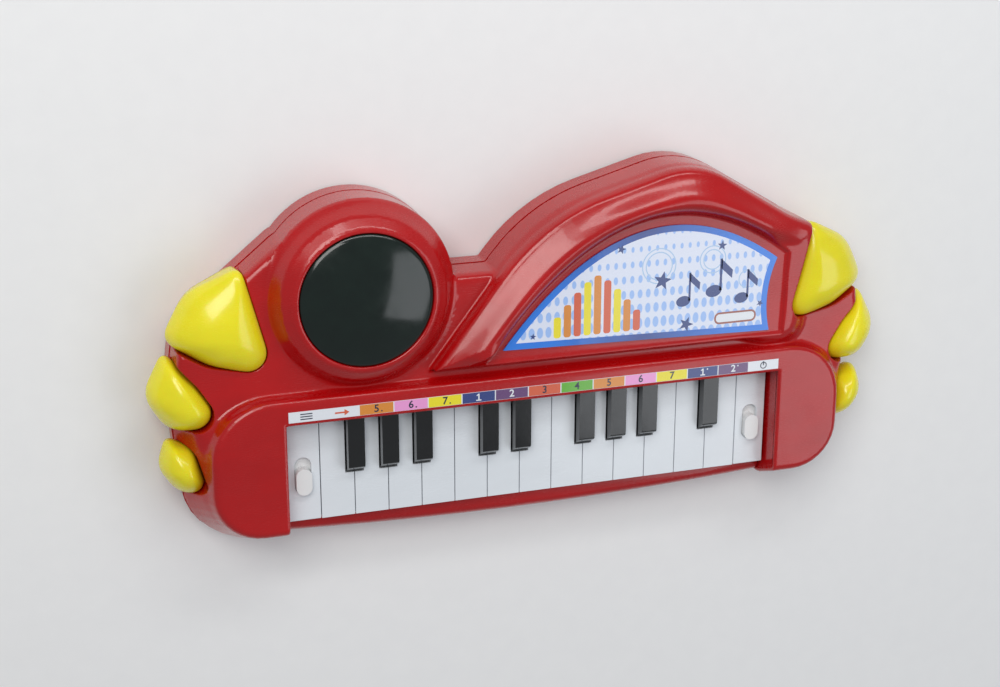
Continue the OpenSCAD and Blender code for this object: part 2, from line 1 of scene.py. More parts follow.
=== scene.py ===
# Toy electronic keyboard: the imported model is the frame, and the pieces with moulded or printed
# surfaces are made again here. Outlines and local sizes are in millimetres, the scene in metres.
import math
import bpy
import numpy as np
from mathutils import Matrix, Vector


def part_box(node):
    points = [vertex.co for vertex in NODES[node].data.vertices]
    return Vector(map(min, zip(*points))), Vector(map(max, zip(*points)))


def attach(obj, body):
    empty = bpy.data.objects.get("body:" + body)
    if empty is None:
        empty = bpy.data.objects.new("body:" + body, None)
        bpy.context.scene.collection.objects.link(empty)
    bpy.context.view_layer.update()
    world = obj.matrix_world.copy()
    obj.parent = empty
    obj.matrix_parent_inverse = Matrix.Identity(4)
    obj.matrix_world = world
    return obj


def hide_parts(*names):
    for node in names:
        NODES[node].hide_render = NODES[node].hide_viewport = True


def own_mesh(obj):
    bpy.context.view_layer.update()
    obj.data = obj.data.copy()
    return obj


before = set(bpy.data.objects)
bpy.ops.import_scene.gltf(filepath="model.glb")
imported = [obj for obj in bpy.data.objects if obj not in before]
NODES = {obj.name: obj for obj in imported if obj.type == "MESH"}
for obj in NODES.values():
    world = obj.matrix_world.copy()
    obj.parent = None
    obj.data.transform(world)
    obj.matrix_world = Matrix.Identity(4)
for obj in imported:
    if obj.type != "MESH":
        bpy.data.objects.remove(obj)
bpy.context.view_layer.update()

MM = 0.001


def box_mm(node):
    """The lowest and highest corner of a CAD node, in millimetres."""
    lo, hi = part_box(node)
    return np.array(lo) / MM, np.array(hi) / MM


# ---- levels and places, read from the frame ----

UPPER_LO, UPPER_HI = box_mm("upper_case")
WINDOW_LO, WINDOW_HI = box_mm("round_window")
LABEL_LO, LABEL_HI = box_mm("label_panel")
STRIP_LO, STRIP_HI = box_mm("note_strip")
KEY_LO, KEY_HI = box_mm("white_key_07")
LOWER_LO, LOWER_HI = box_mm("lower_case")

SEAM = UPPER_LO[2]
FRONT = LOWER_LO[1]
CASE_X = round(LOWER_HI[0])
BACK = -FRONT
DECK_TOP = STRIP_LO[2]
RECESS_Z = LABEL_LO[2]
ARCH_TOP = UPPER_HI[2]
BODY_TOP = DECK_TOP - 8
WALL = 3  # thickness of the drawn shell, a little fuller than the moulding's
WINDOW = ((WINDOW_LO[0] + WINDOW_HI[0]) / 2, (WINDOW_LO[1] + WINDOW_HI[1]) / 2)
WINDOW_R = (WINDOW_HI[0] - WINDOW_LO[0]) / 2
COLLAR_R = WINDOW_R + 15
DECK_EDGE = STRIP_LO[1] - 2
WELL_X = STRIP_HI[0] + 0.8
WHITE_KEYS = [f"white_key_{i:02d}" for i in range(1, 14)]
BLACK_KEYS = [f"black_key_{i:02d}" for i in range(1, 10)]


# ---- outlines ----


def corner(before, at, after, radius, steps=9):
    """The points of a corner rounded to a radius."""
    before, at, after = (np.array(q[:2], float) for q in (before, at, after))
    u = (before - at) / np.linalg.norm(before - at)
    v = (after - at) / np.linalg.norm(after - at)
    half = math.acos(float(u @ v)) / 2
    centre = at + (u + v) / np.linalg.norm(u + v) * radius / math.sin(half)
    start = at + u * radius / math.tan(half) - centre
    end = at + v * radius / math.tan(half) - centre
    a0 = math.atan2(start[1], start[0])
    turn = (math.atan2(end[1], end[0]) - a0 + math.pi) % math.tau - math.pi
    angles = [a0 + turn * i / steps for i in range(steps + 1)]
    return [(centre[0] + radius * math.cos(a), centre[1] + radius * math.sin(a)) for a in angles]


def rounded(points, steps=9):
    """A closed outline from (x, y, corner radius) points."""
    out = []
    for i, p in enumerate(points):
        if p[2] == 0:
            out.append(p[:2])
        else:
            out += corner(points[i - 1], p, points[(i + 1) % len(points)], p[2], steps)
    return out


def cubic(p, q, r, s, steps=40):
    """A cubic curve from p to s, drawn towards q and r."""
    p, q, r, s = (np.array(c, float) for c in (p, q, r, s))
    t = np.linspace(0, 1, steps + 1)[:, None]
    k = 1 - t
    return [tuple(c) for c in k**3 * p + 3 * k * k * t * q + 3 * k * t * t * r + t**3 * s]


def outline_distance(points):
    """The signed distance to a closed outline, negative inside, as a function of arrays x and y."""
    p = np.array(points, float)
    q = np.roll(p, -1, axis=0)

    def distance(x, y):
        x, y = np.broadcast_arrays(np.asarray(x, float), np.asarray(y, float))
        best = np.full(x.shape, 1e9)
        inside = np.zeros(x.shape, bool)
        for (ax, ay), (bx, by) in zip(p, q):
            ex, ey = bx - ax, by - ay
            length = ex * ex + ey * ey
            if length < 1e-9:
                continue
            wx, wy = x - ax, y - ay
            t = np.clip((wx * ex + wy * ey) / length, 0, 1)
            best = np.minimum(best, (wx - ex * t) ** 2 + (wy - ey * t) ** 2)
            if abs(ey) > 1e-9:
                inside ^= ((ay > y) != (by > y)) & (wx < wy * ex / ey)
        return np.where(inside, -1, 1) * np.sqrt(best)

    return distance


CASE_PLAN = rounded([
    (-CASE_X + 8, FRONT + 4, 32), (CASE_X - 8, FRONT + 4, 32), (CASE_X, -8, 60),
    (CASE_X - 5, 26, 22), (150, 56, 14), (81.9, BACK + 4.1, 48), (-0.85, 72.5, 95),
    (-23, 44.5, 2), (-60, 44.5, 0), (WINDOW[0], WINDOW[1], 0), (-126, 72, 10),
    (-153, 50, 12), (-CASE_X + 5, 26, 22), (-CASE_X, -8, 60),
])
DECK_PLAN = rounded([(-169, -80, 24), (169, -80, 24), (169, -10, 30), (-169, -10, 30)])
ARCH_PLAN = rounded([
    (-58, -3.5, 0), (140, -3.5, 8), (150, 53.2, 6), (81.9, BACK + 2.1, 45), (-0.85, 70.4, 110),
])
RECESS_PLAN = cubic((134.5, 42), (80, 83.5), (26, 76.5), (-30, -1)) + [(133, -1)]
LABEL_PLAN = (cubic((129, 40), (78.8, 76.3), (28.2, 69.1), (-21.8, 4.3))
              + cubic((126, 0.7), (122.5, 14), (123.5, 28), (129, 40), 12)[:-1])
CLAWS = {
    "upper": dict(
        outline=rounded([(136, 1.5, 9), (168, 8.5, 24), (189, 21, 7), (177, 44, 22),
                         (150.5, 57, 3), (143.5, 30, 60)], 16),
        centre=(156, 23), levels=(17, 21, 31, 41)),
    "middle": dict(
        outline=rounded([(160, -24, 9), (188, -25, 12), (199, -6, 14), (188, 15.5, 3),
                         (174, -1, 18)], 16),
        centre=(176, -12), levels=(15, 19, 30, 38)),
    "lower": dict(
        outline=rounded([(170, -58, 6), (184, -59, 12), (194, -44, 12), (189, -29, 3),
                         (176, -36, 8)], 16),
        centre=(180, -45), levels=(14.5, 18, 27, 33)),
}

case_distance = outline_distance(CASE_PLAN)
deck_distance = outline_distance(DECK_PLAN)
arch_distance = outline_distance(ARCH_PLAN)
recess_distance = outline_distance(RECESS_PLAN)
claw_distance = {k: outline_distance(c["outline"]) for k, c in CLAWS.items()}


# ---- solids as fields: negative inside ----


def smooth_max(a, b, r):
    """The larger of two fields, with the edge between them rounded by r."""
    h = np.maximum(r - np.abs(a - b), 0) / r
    return np.maximum(a, b) + h * h * r / 4


def smooth_min(a, b, r):
    """The smaller of two fields, with the corner between them filled by r."""
    return -smooth_max(-a, -b, r)


def ease(t):
    """A smooth step from 0 to 1."""
    t = np.clip(t, 0, 1)
    return t * t * (3 - 2 * t)


def case_side(x, y):
    """The plan of the case: the arms and back, the collar's round, and the bowed front lip."""
    reach, bow = WELL_X - 2.8, 4
    r = (reach * reach + bow * bow) / (2 * bow)
    lip = np.maximum(np.hypot(x, y - FRONT - r) - r, np.abs(x) - reach)
    lip = np.maximum(lip, y - FRONT - 12)
    collar = np.hypot(x - WINDOW[0], y - WINDOW[1]) - COLLAR_R
    return np.minimum(np.minimum(case_distance(x, y), collar), lip)


def collar_height(r):
    """The height of the collar's surface at a distance from the window's middle."""
    radii = [0, WINDOW_R, WINDOW_R + 1.2, WINDOW_R + 2.8, WINDOW_R + 8, WINDOW_R + 11.6, COLLAR_R]
    steps = [-6, -6, -5.4, -5.8, -9.8, -15.4, -19.8]
    heights = [WINDOW_HI[2] + s for s in steps]
    return sum(np.interp(r + o, radii, heights) for o in (-0.7, 0, 0.7)) / 3


def upper_outside(x, y, z):
    """The outside of the upper case, as if it were solid."""
    side = case_side(x, y)
    lean = 0.08 + 0.5 * ease((4 - y) / 32)
    shoulder = smooth_max((side + lean * (z - SEAM)) / np.sqrt(1 + lean * lean), z - BODY_TOP, 5)
    lean = 0.1 + 0.3 * ease((-6 - y) / 14)
    deck = (deck_distance(x, y) + lean * (z - DECK_TOP)) / np.sqrt(1 + lean * lean)
    deck = smooth_max(deck, z - DECK_TOP, 3)
    outer, inner = arch_distance(x, y), recess_distance(x, y)
    a, b = np.maximum(-outer, 0), np.maximum(inner, 0)
    fade = ease((x - 108) / 26) * ease((64 - y) / 20)
    gain = np.clip((a + b - 3) * 0.8, 0, ARCH_TOP - DECK_TOP + 0.5) * (1 - fade)
    band = DECK_TOP - 0.5 + gain * np.sin(np.pi * (a / (a + b + 1e-6)) ** 1.7)
    lean = 0.05 + 1.1 * fade
    arch = (outer + lean * (z - DECK_TOP)) / np.sqrt(1 + lean * lean)
    arch = smooth_max(arch, (z - band) / 1.8, 3)
    r = np.hypot(x - WINDOW[0], y - WINDOW[1])
    collar = np.maximum((z - collar_height(r)) / 1.8, r - COLLAR_R)
    shape = smooth_min(smooth_min(shoulder, deck, 3), arch, 2)
    shape = smooth_max(smooth_min(shape, collar, 1.5), side, 1.2)
    recess = smooth_max(inner - 0.25 * (z - RECESS_Z), RECESS_Z - z, 1.5)
    return smooth_max(shape, -recess, 1.6)


def upper_case_field(x, y, z):
    """The upper case: its shell, the arms' inner walls and the claws' seats, less the openings."""
    shape = upper_outside(x, y, z)
    shell = np.abs(shape + WALL / 2) - WALL / 2
    ax = np.abs(x)
    arm_wall = np.maximum(np.maximum(WELL_X - ax, ax - WELL_X - WALL), y - DECK_EDGE - 9)
    shell = np.minimum(shell, np.maximum(arm_wall, shape))
    for name, claw in CLAWS.items():
        d, foot = claw_distance[name](ax, y), claw["levels"][0]
        shell = np.minimum(shell, np.maximum(np.maximum(d - 1.8, foot - 2 - z), shape))
        shell = smooth_max(shell, -np.maximum(d - 0.2, foot - 0.2 - z), 0.6)
    well = np.maximum(ax - WELL_X, y - DECK_EDGE)
    shell = smooth_max(shell, -well, 1.6)
    r = np.hypot(x - WINDOW[0], y - WINDOW[1])
    shell = smooth_max(shell, WINDOW_R + 0.2 - r, 0.8)
    return smooth_max(shell, SEAM + 0.12 - z, 0.7)


def grid_cells(field, lo, hi, step):
    """One point in every grid cell that the surface passes through, and the quads between them."""
    axes = [np.arange(lo[i], hi[i] + step, step) for i in range(3)]
    v = field(axes[0][:, None, None], axes[1][None, :, None], axes[2][None, None, :])
    v = np.asarray(v, np.float32)
    inside = v < 0
    count = np.zeros([n - 1 for n in v.shape], np.int8)
    for i in (0, 1):
        for j in (0, 1):
            for k in (0, 1):
                count += inside[i:i + count.shape[0], j:j + count.shape[1], k:k + count.shape[2]]
    mixed = (count > 0) & (count < 8)
    cells = np.argwhere(mixed)
    index = np.full(mixed.shape, -1, np.int64)
    index[mixed] = np.arange(len(cells))
    total, hits = np.zeros((len(cells), 3)), np.zeros(len(cells))
    for axis in range(3):
        along = np.eye(3, dtype=int)[axis]
        first, second = np.eye(3, dtype=int)[[(axis + 1) % 3, (axis + 2) % 3]]
        for shift in (0 * first, first, second, first + second):
            a = v[tuple((cells + shift).T)]
            b = v[tuple((cells + shift + along).T)]
            cross = (a < 0) != (b < 0)
            t = a[cross] / (a[cross] - b[cross])
            total[cross] += shift + t[:, None] * along
            hits[cross] += 1
    points = np.array(lo) + step * (cells + total / hits[:, None])
    quads = []
    for axis in range(3):
        along = np.eye(3, dtype=int)[axis]
        first, second = np.eye(3, dtype=int)[[(axis + 1) % 3, (axis + 2) % 3]]
        a = inside[tuple(slice(0, n - d) for n, d in zip(v.shape, along))]
        b = inside[tuple(slice(d, n) for n, d in zip(v.shape, along))]
        edges = np.argwhere(a != b)
        keep = np.all(edges >= first + second, axis=1)
        keep &= np.all(edges <= np.array(v.shape) - 2, axis=1)
        edges = edges[keep]
        ring = [index[tuple((edges - s).T)] for s in (first + second, second, 0 * first, first)]
        quad = np.stack(ring, axis=1)
        outward = a[tuple(edges.T)]
        quads.append(np.where(outward[:, None], quad, quad[:, ::-1]))
    return points, np.concatenate(quads)


def settle(field, points, rounds):
    """Moves points on to the surface, and gives its normals there."""
    h = 0.04
    for turn in range(rounds + 1):
        x, y, z = points.T
        value = field(x, y, z)
        slope = np.stack([field(x + h, y, z), field(x, y + h, z), field(x, y, z + h)], axis=1)
        slope = (slope - value[:, None]) / h
        size = np.maximum(np.linalg.norm(slope, axis=1), 0.3)[:, None]
        if turn < rounds:
            points = points - np.clip(value[:, None] / size, -0.5, 0.5) * slope / size
    return points, slope / size


# ---- objects ----


def add_mesh(name, verts, faces, materials, body, replaces=(), indices=None, normals=None):
    """A mesh object from points in millimetres, riding on a body."""
    mesh = bpy.data.meshes.new(name)
    mesh.from_pydata((np.asarray(verts, float) * MM).tolist(), [], [list(f) for f in faces])
    for m in materials:
        mesh.materials.append(m)
    if indices is not None:
        mesh.polygons.foreach_set("material_index", indices)
    mesh.polygons.foreach_set("use_smooth", [True] * len(mesh.polygons))
    mesh.update()
    if normals is not None:
        mesh.normals_split_custom_set_from_vertices(normals.tolist())
    obj = bpy.data.objects.new(name, mesh)
    bpy.context.scene.collection.objects.link(obj)
    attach(obj, body)
    if replaces:
        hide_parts(*replaces)
    return obj


def soften(obj, width, angle=32, segments=2):
    """Rounded edges and clean shading, by modifiers only."""
    if "custom_normal" in obj.data.attributes:
        obj.data.attributes.remove(obj.data.attributes["custom_normal"])
    obj.data.polygons.foreach_set("use_smooth", [True] * len(obj.data.polygons))
    weld = obj.modifiers.new("weld", "WELD")
    weld.merge_threshold = 2e-6
    bevel = obj.modifiers.new("bevel", "BEVEL")
    bevel.width = width * MM
    bevel.segments = segments
    bevel.limit_method = "ANGLE"
    bevel.angle_limit = math.radians(angle)
    bevel.miter_outer = "MITER_ARC"
    normals = obj.modifiers.new("normals", "WEIGHTED_NORMAL")
    normals.weight = 80


def dress(node, material, width=0.3):
    """A CAD node with its real material and softened edges."""
    obj = NODES[node]
    if not obj.data.materials:
        obj.data.materials.append(material)
    for s in obj.material_slots:
        s.material = material
    soften(obj, width)
    return obj


# ---- materials ----


class Nodes:
    """Short ways to add and link shader nodes."""

    def __init__(self, name):
        self.mat = bpy.data.materials.new(name)
        self.mat.use_nodes = True
        self.tree = self.mat.node_tree
        self.shader = self.tree.nodes["Principled BSDF"]
        self.coord = self.tree.nodes.new("ShaderNodeTexCoord").outputs["Object"]

    def add(self, kind, inputs=None, **props):
        node = self.tree.nodes.new("ShaderNode" + kind)
        for k, v in props.items():
            setattr(node, k, v)
        for k, v in (inputs or {}).items():
            self.put(v, node.inputs[k])
        return node

    def put(self, value, socket):
        if isinstance(value, bpy.types.NodeSocket):
            self.tree.links.new(value, socket)
        else:
            socket.default_value = value

    def math(self, operation, a, b=0.0):
        return self.add("Math", {0: a, 1: b}, operation=operation).outputs[0]

    def noise(self, per_mm, detail=3, rough=0.55, stretch=None):
        vector = self.coord
        if stretch:
            vector = self.add("Mapping", {"Vector": vector, "Scale": stretch}).outputs[0]
        return self.add("TexNoise", {
            "Vector": vector, "Scale": per_mm / MM, "Detail": detail, "Roughness": rough}).outputs[0]

    def mix(self, factor, a, b):
        node = self.add("Mix", data_type="RGBA")
        self.put(factor, node.inputs["Factor"])
        self.put(a, node.inputs[6])
        self.put(b, node.inputs[7])
        return node.outputs[2]

    def spread(self, value, low, high, start=0.3, end=0.7):
        return self.add("MapRange", {
            "Value": value, "From Min": start, "From Max": end, "To Min": low, "To Max": high}).outputs[0]

    def bump(self, height, strength, distance):
        return self.add("Bump", {
            "Height": height, "Strength": strength, "Distance": distance * MM}).outputs[0]


def rgb(r, g, b, k=1.0):
    """A linear colour from 0 to 255 display values."""
    values = [c / 255 for c in (r, g, b)]
    linear = [c / 12.92 if c <= 0.04045 else ((c + 0.055) / 1.055) ** 2.4 for c in values]
    return [c * k for c in linear] + [1]


def moulded(name, colour, rough=0.16, coat=0.3, peel=0.05, mottle=0.1, subsurface=0.0):
    """Moulded plastic: faint flow marks in the colour, orange peel, and fine rubbed scratches."""
    n = Nodes(name)
    dark = [c * (1 - 2 * mottle) for c in colour[:3]] + [1]
    light = [min(1, c * (1 + mottle)) for c in colour[:3]] + [1]
    flow = n.noise(0.018, 4, 0.6, (1, 2.2, 1))
    n.put(n.mix(n.spread(flow, 0, 1), dark, light), n.shader.inputs["Base Color"])
    scratches = n.noise(0.35, 2, 0.5, (1, 14, 3))
    smudge = n.noise(0.05, 3)
    worn = n.spread(n.math("ADD", n.math("MULTIPLY", scratches, 0.45),
                           n.math("MULTIPLY", smudge, 0.55)), rough * 0.7, rough * 1.7)
    n.put(worn, n.shader.inputs["Roughness"])
    n.put(n.bump(n.noise(0.45, 2, 0.5), peel, 0.3), n.shader.inputs["Normal"])
    n.put(coat, n.shader.inputs["Coat Weight"])
    n.put(0.06, n.shader.inputs["Coat Roughness"])
    n.put(1.5, n.shader.inputs["IOR"])
    if subsurface:
        n.put(subsurface, n.shader.inputs["Subsurface Weight"])
        n.put(3 * MM, n.shader.inputs["Subsurface Scale"])
    return n.mat


def brushed(name, colour, rough=0.3):
    """Metal with fine lines along one way."""
    n = Nodes(name)
    lines = n.noise(0.5, 3, 0.6, (1, 16, 1))
    pale = [c * 0.75 for c in colour[:3]] + [1]
    n.put(n.mix(lines, pale, colour), n.shader.inputs["Base Color"])
    n.put(n.spread(lines, rough * 0.7, rough * 1.4), n.shader.inputs["Roughness"])
    n.put(n.bump(lines, 0.15, 0.1), n.shader.inputs["Normal"])
    n.put(1.0, n.shader.inputs["Metallic"])
    return n.mat


def rubber(name, colour):
    """Matte material with fine specks: rubber, pulp or ferrite."""
    n = Nodes(name)
    specks = n.noise(1.6, 4, 0.65)
    pale = [min(1, c * 1.8 + 0.01) for c in colour[:3]] + [1]
    n.put(n.mix(n.spread(specks, 0, 0.6, 0.45, 0.75), colour, pale), n.shader.inputs["Base Color"])
    n.put(n.spread(specks, 0.62, 0.85), n.shader.inputs["Roughness"])
    n.put(n.bump(specks, 0.35, 0.15), n.shader.inputs["Normal"])
    return n.mat


def circuit(name):
    """Green solder mask over faint copper tracks."""
    n = Nodes(name)
    cells = n.add("TexVoronoi", {"Vector": n.coord, "Scale": 0.22 / MM},
                  feature="DISTANCE_TO_EDGE", distance="EUCLIDEAN").outputs["Distance"]
    track = n.spread(cells, 1, 0, 0.02, 0.06)
    n.put(n.mix(track, rgb(18, 78, 36), rgb(52, 128, 62)), n.shader.inputs["Base Color"])
    n.put(n.spread(n.noise(0.2), 0.3, 0.45), n.shader.inputs["Roughness"])
    n.put(n.bump(track, 0.3, 0.05), n.shader.inputs["Normal"])
    return n.mat


def printed(name, colour, dots=None, rough=0.22):
    """Glossy printed film: ink grain, and where dots is given a halftone of that colour."""
    n = Nodes(name)
    grain = n.noise(2.2, 2, 0.5)
    dark = [c * 0.93 for c in colour[:3]] + [1]
    base = n.mix(grain, dark, colour)
    if dots:
        cell = n.add("VectorMath", {0: n.coord, 1: (0.222 / MM, 0.128 / MM, 0)}, operation="MULTIPLY")
        part = n.add("VectorMath", {0: cell.outputs[0]}, operation="FRACTION")
        centred = n.add("VectorMath", {0: part.outputs[0], 1: (0.5, 0.5, 0)}, operation="SUBTRACT")
        away = n.add("VectorMath", {0: centred.outputs[0]}, operation="LENGTH").outputs["Value"]
        height = n.add("SeparateXYZ", {0: n.coord}).outputs["Y"]
        size = n.spread(height, 0.4, 0.17, 0.004, 0.056)
        inside = n.spread(n.math("SUBTRACT", size, away), 0, 1, -0.03, 0.03)
        base = n.mix(inside, base, dots)
    n.put(base, n.shader.inputs["Base Color"])
    n.put(n.spread(grain, rough * 0.8, rough * 1.3), n.shader.inputs["Roughness"])
    n.put(n.bump(n.noise(0.3, 2), 0.04, 0.1), n.shader.inputs["Normal"])
    n.put(0.5, n.shader.inputs["Coat Weight"])
    n.put(0.05, n.shader.inputs["Coat Roughness"])
    return n.mat


def border_blue(name):
    """The label's border: bright blue at its ends and slate blue in its middle."""
    n = Nodes(name)
    x = n.add("SeparateXYZ", {0: n.coord}).outputs["X"]
    wander = n.math("ADD", x, n.math("MULTIPLY", n.noise(0.03, 2), 0.012))
    away = n.math("ABSOLUTE", n.math("SUBTRACT", wander, 0.06))
    run = n.spread(away, 0, 1, 0.004, 0.05)
    n.put(n.mix(run, rgb(52, 78, 150), rgb(40, 124, 226)), n.shader.inputs["Base Color"])
    n.put(n.spread(n.noise(0.4), 0.15, 0.26), n.shader.inputs["Roughness"])
    n.put(0.5, n.shader.inputs["Coat Weight"])
    return n.mat


def smoky(name):
    """Dark tinted clear plastic, with a fine haze of rubbed marks."""
    n = Nodes(name)
    haze = n.noise(0.12, 4, 0.6)
    n.put(n.mix(haze, rgb(5, 20, 15), rgb(12, 34, 26)), n.shader.inputs["Base Color"])
    n.put(n.spread(haze, 0.1, 0.2), n.shader.inputs["Roughness"])
    n.put(n.bump(n.noise(0.06, 2), 0.04, 0.3), n.shader.inputs["Normal"])
    n.put(0.25, n.shader.inputs["Transmission Weight"])
    n.put(1.49, n.shader.inputs["IOR"])
    n.put(0.2, n.shader.inputs["Coat Weight"])
    n.put(0.1, n.shader.inputs["Coat Roughness"])
    return n.mat


RED = moulded("red_plastic", rgb(178, 4, 8), rough=0.2, coat=0.3, peel=0.035, mottle=0.06)
YELLOW = moulded("yellow_plastic", rgb(240, 228, 30), rough=0.2, coat=0.25, mottle=0.05, subsurface=0.15)
WHITE = moulded("white_plastic", rgb(226, 231, 236), rough=0.2, coat=0.2, mottle=0.02)
KNOB = moulded("knob_plastic", rgb(232, 233, 233), rough=0.26, coat=0.1, mottle=0.02)
BLACK = moulded("black_plastic", rgb(14, 16, 17), rough=0.14, coat=0.5, mottle=0.15)
STEEL = brushed("steel", (0.62, 0.62, 0.64, 1))
COPPER = brushed("spring_steel", (0.7, 0.66, 0.58, 1), 0.25)
DARK_RUBBER = rubber("dark_rubber", rgb(30, 30, 31))
GREY_RUBBER = rubber("grey_rubber", rgb(140, 140, 146))
BOARD = circuit("circuit_board")
PAPER = rubber("speaker_paper", rgb(58, 58, 60))
MAGNET = rubber("magnet_ferrite", rgb(74, 74, 78))
CELL_WRAP = moulded("cell_wrap", rgb(28, 66, 150), rough=0.25)
LAMP = moulded("lamp_lens", rgb(190, 60, 40), rough=0.1, subsurface=0.3)
SMOKY = smoky("smoky_window")


# ---- the upper case ----

STEP = 1.05
REACH = (CASE_X + 3, BACK + 2)
points, quads = grid_cells(upper_case_field, (-REACH[0], -REACH[1], SEAM - 1.3),
                           (REACH[0], REACH[1], ARCH_TOP + 1.5), STEP)
points, normals = settle(upper_case_field, points, 2)
add_mesh("upper_shell", points, quads, [RED], "case", ["upper_case"], normals=normals)


# ---- claw trims ----


def evened(outline, count=144):
    """The outline again, with its points evenly spaced."""
    p = np.array(outline + outline[:1], float)
    run = np.concatenate([[0], np.cumsum(np.linalg.norm(np.diff(p, axis=0), axis=1))])
    at = np.linspace(0, run[-1], count, endpoint=False)
    return np.column_stack([np.interp(at, run, p[:, 0]), np.interp(at, run, p[:, 1])])


def blended(p, width):
    """A closed outline with its corners eased, over a width in points."""
    reach = np.arange(-3 * width, 3 * width + 1)
    weights = np.exp(-0.5 * (reach / width) ** 2)
    weights /= weights.sum()
    return sum(w * np.roll(p, r, axis=0) for w, r in zip(weights, reach))


def pillow(outline, centre, levels, side):
    """A bulging closed form over an outline: a short wall, then an egg-like crown to its top."""
    z0, wide_out, wide_in, top = levels
    centre = np.array(centre, float)
    p = blended(evened(outline), 2)
    soft = blended(p, 9)

    def widest(x):
        return wide_in + (wide_out - wide_in) * ease((x - 146) / 44)

    rings = []
    foot = widest(p[:, 0])
    for k in range(6):
        part = ease(k / 5)
        rings.append((centre + (p - centre) * (0.96 + 0.04 * part), z0 + (foot - z0) * k / 5))
    crown = 22
    for k in range(1, crown):
        scale = math.cos(k / crown * math.pi / 2)
        part = (1 - scale) ** 0.7
        ring = centre + ((1 - part) * (p - centre) + part * (soft - centre)) * scale
        foot = widest(ring[:, 0])
        rings.append((ring, foot + (top - foot) * math.sin(k / crown * math.pi / 2) ** 1.1))
    verts = [np.column_stack([ring[:, 0] * side, ring[:, 1], z + 0 * ring[:, 0]]) for ring, z in rings]
    verts.append(np.array([[centre[0] * side, centre[1], z0], [centre[0] * side, centre[1], top]]))
    n, m = len(p), len(rings)
    faces = [(j * n + i, j * n + (i + 1) % n, (j + 1) * n + (i + 1) % n, (j + 1) * n + i)
             for j in range(m - 1) for i in range(n)]
    faces += [((i + 1) % n, i, m * n) for i in range(n)]
    faces += [((m - 1) * n + i, (m - 1) * n + (i + 1) % n, m * n + 1) for i in range(n)]
    if side < 0:
        faces = [f[::-1] for f in faces]
    return np.concatenate(verts), faces


for side_name, side in (("left", -1), ("right", 1)):
    for trim, claw in CLAWS.items():
        verts, faces = pillow(claw["outline"], claw["centre"], claw["levels"], side)
        node = f"{side_name}_claw_{trim}"
        add_mesh(node + "_trim", verts, faces, [YELLOW], "case", [node])


# ---- window and lamps ----


def lathe(profile, centre, steps=128):
    """A closed form turned about the vertical line through a centre; a radius of 0 is a pole."""
    verts, rings = [], []
    for r, z in profile:
        count = steps if r > 0 else 1
        rings.append([len(verts) + i % count for i in range(steps)])
        verts += [(centre[0] + r * math.cos(math.tau * i / steps),
                   centre[1] + r * math.sin(math.tau * i / steps), z) for i in range(count)]
    faces = []
    for a, b in zip(rings, rings[1:] + rings[:1]):
        for i in range(steps):
            k = (i + 1) % steps
            face = list(dict.fromkeys([a[i], a[k], b[k], b[i]]))
            if len(face) > 2:
                faces.append(tuple(face))
    return verts, faces


def window_profile():
    """Half of the window's section: a domed shell on a short foot."""
    rise, shell = 6, 1.8
    top = WINDOW_HI[2]
    r = (WINDOW_R * WINDOW_R + rise * rise) / (2 * rise)
    half = math.asin((WINDOW_R - 0.3) / r)
    angles = [half * k / 20 for k in range(21)]
    outer = [(r * math.sin(a), top - r + r * math.cos(a)) for a in reversed(angles)]
    inner = [((r - shell) * math.sin(a), top - r + (r - shell) * math.cos(a)) for a in angles]
    foot = WINDOW_LO[2]
    edge = [(WINDOW_R - 2, foot), (WINDOW_R, foot), (WINDOW_R, top - rise - 0.4)]
    return edge + outer + inner


verts, faces = lathe(window_profile(), WINDOW)
add_mesh("window_lens", verts, faces, [SMOKY], "case", ["round_window"])


# ---- printed pieces ----


